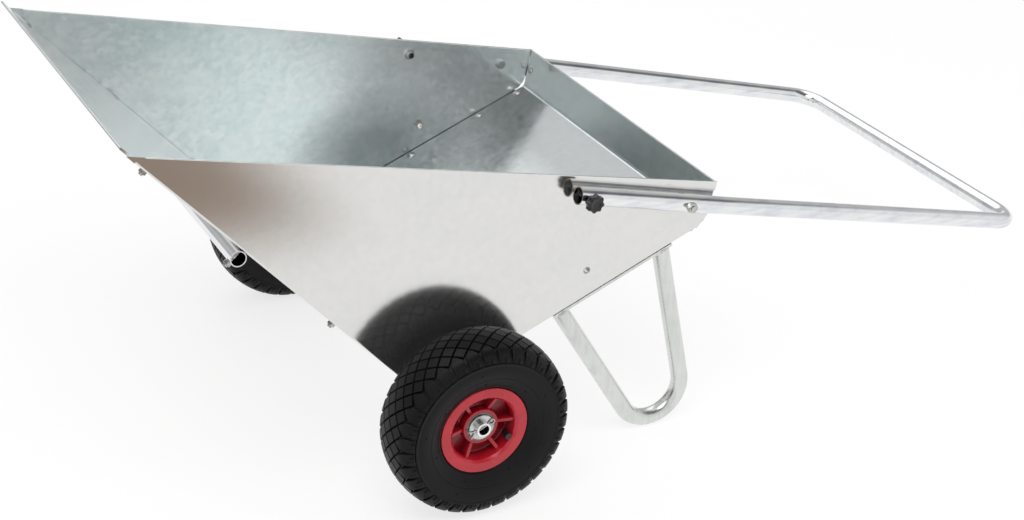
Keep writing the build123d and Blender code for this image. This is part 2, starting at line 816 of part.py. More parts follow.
def bearing_outer(bottom):
    top = bottom + bearing_width
    body = ring_band(bearing_radius - bearing_ring, bearing_radius, bottom, top)
    near = bottom + bearing_shield_inset
    far = top - bearing_shield_inset
    tip = inner_ring_radius + bearing_run_gap
    lower = ring_band(tip, bearing_radius - bearing_ring / 2, near, near + bearing_shield)
    upper = ring_band(tip, bearing_radius - bearing_ring / 2, far - bearing_shield, far)
    return body + lower + upper


outer_bearing_floor = hub_outer_reach - bearing_width
bearing_outer_pair = [bearing_outer(outer_bearing_floor), bearing_outer(-hub_inner_reach)]
ring_bore = axle_radius + bearing_seat_gap
bearing_inner_pair = [
    ring_band(ring_bore, inner_ring_radius, outer_bearing_floor, hub_outer_reach + ring_proud),
    ring_band(ring_bore, inner_ring_radius, -hub_inner_reach - ring_proud, bearing_width - hub_inner_reach),
]


# Right wheel on the axle: drawing X is back along the rim, Y is down, Z is outward.
def on_axle(shape):
    return on_right(axle_point, Pos(0, 0, wheel_middle) * shape)


wheel_parts = {
    "tyre": on_axle(tyre()),
    "inner_tube": on_axle(inner_tube()),
    "rim_outer_half": on_axle(rim_outer_half()),
    "rim_inner_half": on_axle(rim_inner_half()),
    "rim_screws": on_axle(group([Rot(0, 0, turn) * rim_screw() for turn in screw_turns])),
    "bearing_outer_rings": on_axle(group(bearing_outer_pair)),
    "bearing_inner_rings": on_axle(group(bearing_inner_pair)),
    "valve_stem": on_axle(valve_stem()),
    "valve_cap": on_axle(valve_cap()),
}


# Handle: one tube, two arms beside the tub drawn slightly together behind it, and the push bar
def handle():
    end_side = handle_end_width / 2
    points = [
        (-arm_front, -arm_middle),
        (arm_straight, -arm_middle),
        (handle_reach, -end_side),
        (handle_reach, end_side),
        (arm_straight, arm_middle),
        (-arm_front, arm_middle),
    ]
    bends = [arm_bend_radius, handle_bend_radius, handle_bend_radius, arm_bend_radius]
    path = handle_plane * FilletPolyline(*points, radius=bends)
    start = Plane(origin=path @ 0, z_dir=path % 0)
    tube = sweep(start * Circle(tube_radius), path) - sweep(start * Circle(tube_bore_radius), path)
    reach = arm_outside + tube_radius
    tube -= on_right(pivot_point, rod(pivot_diameter / 2 + pivot_fit, -reach, reach))
    return tube - on_right(lock_here, rod(stud_diameter / 2 + stud_hole_gap, -reach, reach))


handle_tube = handle()

# Pivot: hex bolt from inside the tub, washer between panel and arm, locking nut outside
pivot_nut_seat = arm_outside + arm_play
pivot_end = pivot_nut_seat + pivot_nut_height + pivot_tip
pivot_head = hex_prism(pivot_head_across, half_width - sheet - pivot_head_height, pivot_head_height)
pivot_bolt = pivot_head + rod(pivot_diameter / 2, half_width - sheet, pivot_end)
pivot_bolts = group(both_sides(on_right(pivot_point, pivot_bolt)))
pivot_washer = hollow_rod(
    pivot_washer_diameter / 2,
    pivot_diameter / 2 + bolt_hole_gap,
    half_width,
    half_width + pivot_washer_thickness,
)
pivot_washers = group(both_sides(on_right(pivot_point, pivot_washer)))
pivot_nut = hex_nut(
    pivot_head_across, pivot_nut_seat + pivot_nut_height, pivot_nut_height, pivot_diameter / 2 + nut_bore_gap
)
pivot_nuts = group(both_sides(on_right(pivot_point, pivot_nut)))

# Threaded inserts, flush with the outside of the panel, at the two lock positions
insert = rod(insert_collar_diameter / 2, half_width - sheet, half_width)
insert += rod(insert_flange_diameter / 2, half_width - sheet - insert_flange_thickness, half_width - sheet)
insert += rod(insert_body_diameter / 2, half_width - insert_length, half_width - sheet)
insert -= rod(stud_diameter / 2 + thread_gap, half_width - insert_length, half_width)
lock_inserts = group(both_sides(on_right(lock_here, insert)) + both_sides(on_right(lock_raised, insert)))

# Star knobs, shown slackened: the stud's tip is just clear of the panel, so the handle is free to swing
collar_seat = arm_outside + arm_play + knob_travel
neck_seat = collar_seat + collar_thickness + collar_gap
head_seat = neck_seat + knob_neck_length
head_top = head_seat + knob_head_thickness


def star_knob():
    star = Circle(knob_diameter / 2)
    scallop_place = knob_diameter / 2 + knob_scallop_radius - knob_scallop_depth
    star -= [
        Rot(0, 0, 360 / knob_lobes * lobe) * Pos(scallop_place, 0) * Circle(knob_scallop_radius)
        for lobe in range(knob_lobes)
    ]
    head = Pos(0, 0, head_seat) * extrude(star, knob_head_thickness)
    head = chamfer(head.edges().group_by(Axis.Z)[-1], knob_edge)
    knob = head + rod(knob_neck_diameter / 2, neck_seat, head_seat)
    return knob - rod(stud_diameter / 2 + stud_seat_gap, neck_seat, (head_seat + head_top) / 2)


stud = rod(stud_diameter / 2, half_width + stud_clear, (head_seat + head_top) / 2)
collar_bore = stud_diameter / 2 + thread_gap
collar = hollow_rod(collar_diameter / 2, collar_bore, collar_seat, collar_seat + collar_thickness)
right_knob, left_knob = both_sides(on_right(lock_here, star_knob()))
right_knob_stud, left_knob_stud = both_sides(on_right(lock_here, stud))
right_knob_collar, left_knob_collar = both_sides(on_right(lock_here, collar))

nodes = {
    "left_side_panel": left_side_panel,
    "right_side_panel": right_side_panel,
    "front_sheet": front_sheet,
    "rear_sheet": rear_sheet,
    "front_cross_tube": cross_tube_solid,
    "front_seam_bolts": front_seam_bolts,
    "front_seam_nuts": front_seam_nuts,
    "cross_tube_bolts": cross_tube_bolts,
    "cross_tube_nuts": cross_tube_nuts,
    "rear_seam_bolts": rear_seam_bolts,
    "rear_seam_nuts": rear_seam_nuts,
    "back_corner_bolts": back_corner_bolts,
    "back_corner_nuts": back_corner_nuts,
    "lap_bolts": lap_bolts,
    "lap_nuts": lap_nuts,
    "left_leg": left_leg,
    "right_leg": right_leg,
    "left_leg_bar": left_leg_bar,
    "right_leg_bar": right_leg_bar,
    "leg_bolts": leg_bolts,
    "leg_nuts": leg_nuts,
    "axle_tube": axle_tube,
    "left_axle_bracket": left_axle_bracket,
    "right_axle_bracket": right_axle_bracket,
    "bracket_bolts": bracket_bolts,
    "bracket_nuts": bracket_nuts,
    "axle_spacers": axle_spacers,
    "inner_washers": inner_washers,
    "outer_washers": outer_washers,
    "split_pins": split_pins,
    "handle_tube": handle_tube,
    "pivot_bolts": pivot_bolts,
    "pivot_washers": pivot_washers,
    "pivot_nuts": pivot_nuts,
    "lock_inserts": lock_inserts,
    "left_knob": left_knob,
    "right_knob": right_knob,
    "left_knob_stud": left_knob_stud,
    "right_knob_stud": right_knob_stud,
    "left_knob_collar": left_knob_collar,
    "right_knob_collar": right_knob_collar,
}
for name, shape in wheel_parts.items():
    nodes["right_" + name] = shape
    nodes["left_" + name] = mirror(shape, about=Plane.XZ)

# Set the barrow down: the rim tilts nose up, the ground is Z zero, and X zero is half way along it
tilted = Rot(0, park_tilt, 0)
extent = Compound([solid for shape in nodes.values() for solid in (tilted * shape).solids()]).bounding_box()
stand = Pos(-(extent.min.X + extent.max.X) / 2, 0, -ground_level) * tilted

os.makedirs("parts", exist_ok=True)
for name, shape in nodes.items():
    export_step(stand * shape, f"parts/{name}.step")
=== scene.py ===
import json
import math
import bmesh
import bpy
from mathutils import Matrix, Vector


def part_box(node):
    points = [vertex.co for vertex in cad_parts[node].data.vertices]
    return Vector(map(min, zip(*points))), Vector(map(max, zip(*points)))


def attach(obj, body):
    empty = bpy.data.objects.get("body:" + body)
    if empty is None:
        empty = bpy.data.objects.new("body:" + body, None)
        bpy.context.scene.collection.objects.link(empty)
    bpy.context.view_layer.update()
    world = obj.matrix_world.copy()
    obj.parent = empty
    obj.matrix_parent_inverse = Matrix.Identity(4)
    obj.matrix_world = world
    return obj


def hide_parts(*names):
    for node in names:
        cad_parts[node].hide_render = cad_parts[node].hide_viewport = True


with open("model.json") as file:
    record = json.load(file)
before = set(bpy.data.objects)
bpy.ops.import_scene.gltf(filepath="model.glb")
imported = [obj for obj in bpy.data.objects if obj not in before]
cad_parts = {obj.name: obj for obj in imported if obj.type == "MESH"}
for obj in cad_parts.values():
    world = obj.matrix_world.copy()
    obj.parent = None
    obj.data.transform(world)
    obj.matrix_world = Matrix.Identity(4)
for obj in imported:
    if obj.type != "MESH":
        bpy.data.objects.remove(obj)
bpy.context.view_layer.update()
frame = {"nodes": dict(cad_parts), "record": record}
nodes = frame["nodes"]
tubTilt = 12.4  # degrees that the rim leans when the barrow is parked
print("frame loaded:", len(nodes), "nodes")


# helpers for node trees
def addNode(tree, kind, inputs=None, **settings):
    node = tree.nodes.new(kind)
    for key, value in settings.items():
        setattr(node, key, value)
    for key, value in (inputs or {}).items():
        if isinstance(value, bpy.types.NodeSocket):
            tree.links.new(value, node.inputs[key])
        else:
            node.inputs[key].default_value = value
    return node


def math2(tree, how, first, second=0.0):
    return addNode(tree, "ShaderNodeMath", {0: first, 1: second}, operation=how).outputs[0]


def vector2(tree, how, first, second):
    return addNode(tree, "ShaderNodeVectorMath", {0: first, 1: second}, operation=how).outputs[0]


def times(tree, first, *others):
    for other in others:
        first = math2(tree, "MULTIPLY", first, other)
    return first


def weighted(tree, parts):
    total = None
    for value, share in parts:
        part = math2(tree, "MULTIPLY", value, share)
        total = part if total is None else math2(tree, "ADD", total, part)
    return total


def spread(tree, value, low, high, start=0.0, end=1.0, easing="LINEAR"):
    spans = {0: value, 1: start, 2: end, 3: low, 4: high}
    return addNode(tree, "ShaderNodeMapRange", spans, interpolation_type=easing).outputs[0]


def rising(tree, value, span, top=1.0):
    return spread(tree, value, 0.0, top, *span)


def falling(tree, value, span, top=1.0):
    return spread(tree, value, top, 0.0, *span)


def mixed(tree, factor, first, second):
    sides = {0: factor, 6: first, 7: second}
    return addNode(tree, "ShaderNodeMix", sides, data_type="RGBA").outputs[2]


def mixedValue(tree, factor, first, second):
    return addNode(tree, "ShaderNodeMix", {0: factor, 2: first, 3: second}).outputs[0]


def split(tree, vector):
    return addNode(tree, "ShaderNodeSeparateXYZ", {0: vector}).outputs


def rgba(colour):
    return (*colour, 1.0)


def ramp(tree, value, stops):
    node = addNode(tree, "ShaderNodeValToRGB", {0: value})
    keys = node.color_ramp.elements
    while len(keys) < len(stops):
        keys.new(0.5)
    for key, (place, colour) in zip(keys, stops):
        key.position = place
        key.color = rgba(colour)
    return node.outputs[0]


def objectPlace(tree, scale=(1, 1, 1)):
    coords = addNode(tree, "ShaderNodeTexCoord").outputs["Object"]
    return addNode(tree, "ShaderNodeMapping", {"Vector": coords, "Scale": scale}).outputs[0]


# a noise is given by its scale, detail and roughness
def noise(tree, place, scale, detail=3.0, rough=0.5, output=0):
    values = {"Vector": place, "Scale": scale, "Detail": detail, "Roughness": rough}
    return addNode(tree, "ShaderNodeTexNoise", values).outputs[output]


def newFinish(name, **sockets):
    finish = bpy.data.materials.new(name)
    finish.use_nodes = True
    tree = finish.node_tree
    tree.nodes.clear()
    skin = addNode(tree, "ShaderNodeBsdfPrincipled")
    for key, value in sockets.items():
        skin.inputs[key.replace("_", " ")].default_value = value
    addNode(tree, "ShaderNodeOutputMaterial", {0: skin.outputs[0]})
    return finish, tree, skin


# relief is a bump's strength and its distance in metres
def setSkin(tree, skin, colour, rough, height=None, relief=None):
    tree.links.new(colour, skin.inputs["Base Color"])
    tree.links.new(rough, skin.inputs["Roughness"])
    if relief:
        values = {"Strength": relief[0], "Distance": relief[1], "Height": height}
        bump = addNode(tree, "ShaderNodeBump", values)
        tree.links.new(bump.outputs[0], skin.inputs["Normal"])


# hot-dip galvanised sheet: soft zinc crystals with frost between them, and a cloudy tone
# smooth outside; inside, painted shade darkens the folds, the bed and the back wall, a soft painted shade
# patch darkens the far side, and painted light lifts the nose and the inner tones
sheetLook = {
    # painted light: the inner tones are lighter than the outer ones, standing in for light bounced round
    # inside the tub
    "innerTones": [(0.38, (0.76, 0.825, 0.83)), (0.50, (0.865, 0.905, 0.905)),
                   (0.62, (0.935, 0.96, 0.955))],
    "outerTones": [(0.25, (0.73, 0.73, 0.72)), (0.75, (0.81, 0.80, 0.785))],
    "crystals": 120.0, "frost": (420.0, 4.0, 0.6), "mottle": (24.0, 6.0, 0.66), "clouds": (4.5, 4.0, 0.55),
    "shares": {"crystal": 0.14, "frost": 0.22, "mottle": 0.38, "clouds": 0.26},
    "mottleStretch": (0.55, 1, 1), "sway": (30.0, 2.0), "swayReach": 0.014,
    "innerSheen": (0.13, 0.26), "outerSheen": 0.13, "sheenShares": {"gleam": 0.25, "mottle": 0.75},
    "sheenSpan": (0.25, 0.75), "patina": 0.14, "outerPatina": 0.05,
    "relief": (0.04, 0.0006), "outerRelief": 0.35,
    "insideSpan": (0.0, 0.3),
    # painted shade: the crease colour darkens the bent faces inside the tub, below the rim, where shade falls
    # in the folds
    "crease": (0.02, 0.025, 0.025), "bendStart": (0.05, 0.2), "bendEnd": (0.92, 0.99),
    "rimLevel": 0.40034, "creaseDrop": (0.03, 0.018),
    # painted light: noseLift mixes the inside of the nose towards white
    "noseLift": 0.80, "nosePatina": 0.25, "noseSpan": (0.5, 0.7),
    # painted shade: the bed colour darkens the inside of the bed, rising towards the back wall
    "bed": (0.275, 0.29, 0.295), "bedShade": 0.85, "bedSpan": (0.76, 0.88), "bedRun": (-0.12, 0.05),
    # painted shade: the wall colour darkens the back wall inside, more on the near side
    "wall": (0.17, 0.20, 0.195), "wallNear": 0.92, "wallFar": 0.58, "wallSpan": (-0.80, -0.68),
    "wallRun": (-0.26, 0.26),
    # painted shade: a soft darker patch on the inside of the far panel, where its reflections fall into shade
    "shadePatch": (0.22, 0.255, 0.265), "shadePatchDepth": 0.78, "shadePatchPlace": (-0.145, 0, 0.25),
    "shadePatchSize": (0.155, 0.115), "shadePatchSpan": (0.9, 0.97), "shadePatchFade": (0.25, 1.0),
    "shadePatchSide": (-0.05, 0.05),
}


def sheetGrain(tree, place):
    look = sheetLook
    sway = noise(tree, place, *look["sway"], output=1)
    sway = addNode(tree, "ShaderNodeVectorMath", {0: sway, 3: look["swayReach"]}, operation="SCALE")
    swayed = vector2(tree, "ADD", place, sway.outputs[0])
    cells = addNode(tree, "ShaderNodeTexVoronoi", {"Vector": swayed, "Scale": look["crystals"]}).outputs
    crystal = addNode(tree, "ShaderNodeSeparateColor", {0: cells["Color"]}).outputs
    return {
        "edge": cells["Distance"], "crystal": crystal[0], "gleam": crystal[1],
        "frost": noise(tree, swayed, *look["frost"]),
        "mottle": noise(tree, objectPlace(tree, look["mottleStretch"]), *look["mottle"]),
        "clouds": noise(tree, place, *look["clouds"]),
    }


# where a face of the tub lies and looks
def sheetMasks(tree, place):
    look = sheetLook
    x, y, z = split(tree, place)
    facing = split(tree, addNode(tree, "ShaderNodeTexCoord").outputs["Normal"])
    inward = times(tree, facing[1], math2(tree, "SIGN", y), -1.0)
    inside = rising(tree, math2(tree, "MAXIMUM", inward, facing[2]), look["insideSpan"])
    tilt = math.radians(tubTilt)
    level = weighted(tree, [(x, math.sin(tilt)), (z, math.cos(tilt))])
    # painted shade in the folds: bent faces inside, below the rim
    bend = times(tree, rising(tree, inward, look["bendStart"]), falling(tree, inward, look["bendEnd"]))
    belowRim = [look["rimLevel"] - drop for drop in look["creaseDrop"]]
    # painted shade on the back wall, more on the near side
    wall = times(tree, falling(tree, facing[0], look["wallSpan"], look["wallNear"]), inside)
    wallFade = spread(tree, y, 1.0, look["wallFar"] / look["wallNear"], *look["wallRun"])
    # painted shade patch: strongest at its middle on the far panel's inside, fading outwards
    wide, tall = look["shadePatchSize"]
    away = vector2(tree, "SUBTRACT", place, look["shadePatchPlace"])
    away = vector2(tree, "MULTIPLY", away, (1 / wide, 0, 1 / tall))
    away = addNode(tree, "ShaderNodeVectorMath", {0: away}, operation="LENGTH").outputs["Value"]
    shadePatch = times(tree, rising(tree, inward, look["shadePatchSpan"], look["shadePatchDepth"]),
                  falling(tree, away, look["shadePatchFade"]), rising(tree, y, look["shadePatchSide"]))
    return {
        "inside": inside,
        "nose": times(tree, rising(tree, facing[0], look["noseSpan"]), inside),
        # painted shade on the bed, rising towards the back wall
        "bed": times(tree, rising(tree, facing[2], look["bedSpan"], look["bedShade"]),
                     rising(tree, x, look["bedRun"])),
        "wall": times(tree, wall, wallFade),
        "shadePatch": shadePatch,
        "crease": times(tree, bend, falling(tree, level, belowRim)),
    }


def galvanisedSheet():
    look = sheetLook
    finish, tree, skin = newFinish("galvanisedSheet")
    place = objectPlace(tree)
    grain = sheetGrain(tree, place)
    masks = sheetMasks(tree, place)
    inside, nose = masks["inside"], masks["nose"]
    tone = weighted(tree, [(grain[key], share) for key, share in look["shares"].items()])
    # painted light: the inside takes the lighter inner tones
    colour = mixed(tree, inside, ramp(tree, tone, look["outerTones"]), ramp(tree, tone, look["innerTones"]))
    # painted light on the nose's inside
    colour = mixed(tree, times(tree, nose, look["noseLift"]), colour, rgba((1, 1, 1)))
    # painted shade: the bed, the back wall, the far panel's patch and the folds are mixed darker here
    for key in ("bed", "wall", "shadePatch", "crease"):
        colour = mixed(tree, masks[key], colour, rgba(look[key]))
    metal = spread(tree, inside, 1.0 - look["outerPatina"], 1.0 - look["patina"])
    metal = math2(tree, "SUBTRACT", metal, times(tree, nose, look["nosePatina"]))
    tree.links.new(metal, skin.inputs["Metallic"])
    sheen = weighted(tree, [(grain[key], share) for key, share in look["sheenShares"].items()])
    sheen = spread(tree, sheen, *look["innerSheen"], *look["sheenSpan"])
    rough = mixedValue(tree, inside, look["outerSheen"], sheen)
    height = math2(tree, "ADD", grain["frost"], grain["edge"])
    height = times(tree, height, spread(tree, inside, look["outerRelief"], 1.0))
    setSkin(tree, skin, colour, rough, height, look["relief"])
    return finish


# zinc on drawn tube: long streaks, a faint tint; the handle's tones are painted lighter and the legs' painted
# darker, with rougher legs
tubeLook = {
    # painted light: the handle's copy of the tones is lighter
    "handle": {
        "tones": [(0.34, (0.66, 0.675, 0.74)), (0.48, (0.80, 0.815, 0.84)), (0.64, (0.89, 0.89, 0.88))],
        "sheen": (0.08, 0.17),
    },
    # painted shade: the legs' copy of the tones is darker
    "leg": {
        "tones": [(0.34, (0.61, 0.63, 0.62)), (0.48, (0.69, 0.705, 0.69)), (0.64, (0.76, 0.77, 0.755))],
        "sheen": (0.20, 0.32),
    },
    "streakLength": 2.0, "streakWidth": 150.0, "streaks": (1.0, 4.0, 0.55), "streakShare": 0.55,
    "patches": (26.0, 3.0), "patchShare": 0.45, "sheenSpan": (0.3, 0.7), "relief": (0.04, 0.0004),
}


# along is the axis that the streaks run on: 0 for X, 1 for Y, 2 for Z
def zincTube(name, along, kind):
    look = tubeLook
    finish, tree, skin = newFinish(name, Metallic=1.0)
    scale = [look["streakWidth"]] * 3
    scale[along] = look["streakLength"]
    streaks = noise(tree, objectPlace(tree, scale), *look["streaks"])
    patches = noise(tree, objectPlace(tree), *look["patches"])
    tone = weighted(tree, [(streaks, look["streakShare"]), (patches, look["patchShare"])])
    rough = spread(tree, tone, *look[kind]["sheen"], *look["sheenSpan"])
    setSkin(tree, skin, ramp(tree, tone, look[kind]["tones"]), rough, streaks, look["relief"])
    return finish


# plated screws, nuts and washers
fastenerLook = {
    "tones": [(0.35, (0.30, 0.30, 0.29)), (0.6, (0.66, 0.66, 0.645))], "grain": (700.0, 3.0, 0.6),
    "patches": (90.0, 2.0), "grainShare": 0.5, "sheen": (0.12, 0.28), "sheenSpan": (0.3, 0.7),
    "relief": (0.05, 0.0003),
}


def zincFastener():
    look = fastenerLook
    finish, tree, skin = newFinish("zincFastener", Metallic=1.0)
    place = objectPlace(tree)
    grain = noise(tree, place, *look["grain"])
    patches = noise(tree, place, *look["patches"])
    tone = weighted(tree, [(grain, look["grainShare"]), (patches, 1.0 - look["grainShare"])])
    rough = spread(tree, tone, *look["sheen"], *look["sheenSpan"])
    setSkin(tree, skin, ramp(tree, tone, look["tones"]), rough, grain, look["relief"])
    return finish


# turned bearing rings and their grey shields
bearingLook = {
    "tones": [(0.3, (0.10, 0.10, 0.10)), (0.7, (0.30, 0.29, 0.28))], "grain": (900.0, 3.0),
    "sheen": (0.28, 0.48), "metal": 0.9,
}


def bearingSteel():
    look = bearingLook
    finish, tree, skin = newFinish("bearingSteel", Metallic=look["metal"])
    grain = noise(tree, objectPlace(tree), *look["grain"])
    setSkin(tree, skin, ramp(tree, grain, look["tones"]), spread(tree, grain, *look["sheen"]))
    return finish


# moulded red rim: gloss skin with faint flow marks, and painted shade: darker red down in the pockets
redLook = {
    "tones": [(0.3, (0.50, 0.006, 0.022)), (0.62, (0.68, 0.020, 0.038))], "flow": (18.0, 3.0, 0.6),
    "pores": (1500.0, 2.0), "sheen": (0.20, 0.38), "sheenSpan": (0.3, 0.7), "relief": (0.06, 0.0002),
    # painted shade: the pocket colour darkens the red near the wheel's middle plane, deep in the pockets
    "pocket": (0.24, 0.001, 0.010), "pocketShade": 0.85, "pocketSpan": (0.008, 0.026), "wheelMiddle": 0.338,
    "gloss": 0.5, "coat": 0.28, "coatSheen": 0.10,
}


def redPlastic():
    look = redLook
    finish, tree, skin = newFinish("redPlastic", Specular_IOR_Level=look["gloss"],
                                   Coat_Weight=look["coat"], Coat_Roughness=look["coatSheen"])
    place = objectPlace(tree)
    flow = noise(tree, place, *look["flow"])
    across = math2(tree, "ABSOLUTE", split(tree, place)[1])
    fromMiddle = math2(tree, "ABSOLUTE", math2(tree, "SUBTRACT", across, look["wheelMiddle"]))
    # painted shade in the pockets, fading out away from the wheel's middle plane
    pocket = falling(tree, fromMiddle, look["pocketSpan"], look["pocketShade"])
    colour = mixed(tree, pocket, ramp(tree, flow, look["tones"]), rgba(look["pocket"]))
    rough = spread(tree, flow, *look["sheen"], *look["sheenSpan"])
    setSkin(tree, skin, colour, rough, noise(tree, place, *look["pores"]), look["relief"])
    return finish


# rubber: near black, dusty patches, fine moulded skin
rubberLook = {
    "tones": [(0.35, (0.0045, 0.0045, 0.005)), (0.70, (0.011, 0.011, 0.0115))], "dust": (14.0, 5.0, 0.62),
    "skin": (900.0, 2.0), "tyreSheen": (0.34, 0.54), "valveSheen": (0.22, 0.42), "sheenSpan": (0.3, 0.7),
    "relief": (0.10, 0.0003), "gloss": 0.18,
}


def blackRubber(name, sheen):
    look = rubberLook
    finish, tree, skin = newFinish(name, Specular_IOR_Level=look["gloss"])
    place = objectPlace(tree)
    dust = noise(tree, place, *look["dust"])
    rough = spread(tree, dust, *look[sheen], *look["sheenSpan"])
    grain = noise(tree, place, *look["skin"])
    setSkin(tree, skin, ramp(tree, dust, look["tones"]), rough, grain, look["relief"])
    return finish


# black knobs, caps and oxide screws
blackLook = {
    "tones": [(0.3, (0.008, 0.008, 0.009)), (0.7, (0.020, 0.020, 0.022))], "grain": (1300.0, 2.0),
    "sheenSpan": (0.3, 0.7), "relief": (0.12, 0.0003),
    "plastic": {"metal": 0.0, "sheen": (0.18, 0.32)}, "steel": {"metal": 0.6, "sheen": (0.28, 0.44)},
}


def blackFinish(name, kind):
    look = blackLook
    finish, tree, skin = newFinish(name, Metallic=look[kind]["metal"])
    grain = noise(tree, objectPlace(tree), *look["grain"])
    rough = spread(tree, grain, *look[kind]["sheen"], *look["sheenSpan"])
    setSkin(tree, skin, ramp(tree, grain, look["tones"]), rough, grain, look["relief"])
    return finish


finishes = {
    "galvanised_sheet": galvanisedSheet(),
    "zinc_tube": zincTube("zincTube", 2, "leg"),
    "zinc_fastener": zincFastener(),
    "bearing_steel": bearingSteel(),
    "red_plastic": redPlastic(),
    "tyre_rubber": blackRubber("tyreRubber", "tyreSheen"),
    "black_rubber": blackRubber("blackRubber", "valveSheen"),
    "black_plastic": blackFinish("blackPlastic", "plastic"),
    "black_steel": blackFinish("blackSteel", "steel"),
}
handleZinc = zincTube("handleZinc", 0, "handle")
crossZinc = zincTube("crossZinc", 1, "handle")
ownFinishes = {
    "handle_tube": handleZinc, "front_cross_tube": crossZinc,
    "axle_tube": crossZinc, "axle_spacers": crossZinc,
}
for part in frame["record"]["subparts"]:
    solid = nodes[part["node"]]
    finish = ownFinishes.get(part["node"], finishes[part["material_slot"]])
    if not solid.material_slots:
        solid.data.materials.append(finish)
    for slot in solid.material_slots:
        slot.material = finish
print("finishes made:", len(finishes) + 2)


# mesh helpers
def closedMesh(name, points, faces, weld=1e-6):
    mesh = bpy.data.meshes.new(name)
    mesh.from_pydata(points, [], faces)
    shape = bmesh.new()
    shape.from_mesh(mesh)
    bmesh.ops.remove_doubles(shape, verts=shape.verts, dist=weld)
    bmesh.ops.recalc_face_normals(shape, faces=shape.faces)
    shape.to_mesh(mesh)
    shape.free()
    return mesh


# quads between two loops of points, one stored after the other
def band(first, count):
    after = [(i + 1) % count for i in range(count)]
    return [(first + i, first + j, first + count + j, first + count + i) for i, j in enumerate(after)]


# a loop of radius and side distance, turned about the wheel's axis (Y)
def turnedLoop(name, loop, slices):
    points, faces = [], []
    size = len(loop)
    for k in range(slices):
        angle = math.tau * k / slices
        points += [(r * math.cos(angle), v, r * math.sin(angle)) for r, v in loop]
    for k in range(slices):
        here, there = k * size, (k + 1) % slices * size
        after = [(i + 1) % size for i in range(size)]
        faces += [(here + i, here + j, there + j, there + i) for i, j in enumerate(after)]
    return closedMesh(name, points, faces)


# corners are radius, side distance and rounding
def roundedLoop(corners, steps=4, edgeShare=0.45):
    loop = []
    for index, (r, v, radius) in enumerate(corners):
        here = Vector((r, v))
        if not radius:
            loop.append((r, v))
            continue
        before = Vector(corners[index - 1][:2]) - here
        after = Vector(corners[(index + 1) % len(corners)][:2]) - here
        half = before.angle(after) / 2
        cut = min(radius / math.tan(half), edgeShare * min(before.length, after.length))
        a, b = here + before.normalized() * cut, here + after.normalized() * cut
        for step in range(steps + 1):
            t = step / steps
            spot = a * (1 - t)**2 + here * 2 * t * (1 - t) + b * t**2
            loop.append((spot.x, spot.y))
    return loop


def pieceFrom(name, meshes, matrix, finish, smoothAngle):
    shape = bmesh.new()
    for mesh in meshes:
        shape.from_mesh(mesh)
    bmesh.ops.transform(shape, matrix=matrix, verts=shape.verts)
    if matrix.determinant() < 0:
        bmesh.ops.reverse_faces(shape, faces=shape.faces)
    mesh = bpy.data.meshes.new(name)
    shape.to_mesh(mesh)
    shape.free()
    mesh.materials.clear()
    mesh.materials.append(finish)
    for face in mesh.polygons:
        face.material_index = 0
        face.use_smooth = True
    mesh.set_sharp_from_angle(angle=math.radians(smoothAngle))
    piece = bpy.data.objects.new(name, mesh)
    bpy.context.scene.collection.objects.link(piece)
    return piece


# named inputs of a geometry tree, with the identifiers that a modifier needs
def treeInputs(tree, shapeName, inputs, resultName):
    face = tree.interface
    face.new_socket(shapeName, in_out="INPUT", socket_type="NodeSocketGeometry")
    sockets = {}
    for key, (label, kind) in inputs.items():
        sockets[key] = face.new_socket(label, in_out="INPUT", socket_type="NodeSocket" + kind).identifier
    face.new_socket(resultName, in_out="OUTPUT", socket_type="NodeSocketGeometry")
    return addNode(tree, "NodeGroupInput").outputs, sockets


def treeEnd(tree, copies, finish):
    real = addNode(tree, "GeometryNodeRealizeInstances", {0: copies.outputs[0]})
    dressed = addNode(tree, "GeometryNodeSetMaterial", {"Geometry": real.outputs[0], "Material": finish})
    addNode(tree, "NodeGroupOutput", {0: dressed.outputs[0]})


# one shape set round the wheel's axis (Y), as often as it says
def ringTree():
    tree = bpy.data.node_groups.new("roundTheAxis", "GeometryNodeTree")
    inputs = {"count": ("Count", "Int"), "phase": ("Phase", "Float"), "finish": ("Finish", "Material")}
    start, sockets = treeInputs(tree, "Shape", inputs, "Ring")
    line = addNode(tree, "GeometryNodeMeshLine", {"Count": start["Count"], "Offset": (0, 0, 0)})
    step = math2(tree, "ADD", addNode(tree, "GeometryNodeInputIndex").outputs[0], start["Phase"])
    turn = math2(tree, "MULTIPLY", math2(tree, "DIVIDE", step, start["Count"]), math.tau)
    euler = addNode(tree, "ShaderNodeCombineXYZ", {1: turn})
    rotation = addNode(tree, "FunctionNodeEulerToRotation", {0: euler.outputs[0]})
    values = {"Points": line.outputs[0], "Instance": start["Shape"], "Rotation": rotation.outputs[0]}
    treeEnd(tree, addNode(tree, "GeometryNodeInstanceOnPoints", values), start["Finish"])
    return tree, sockets


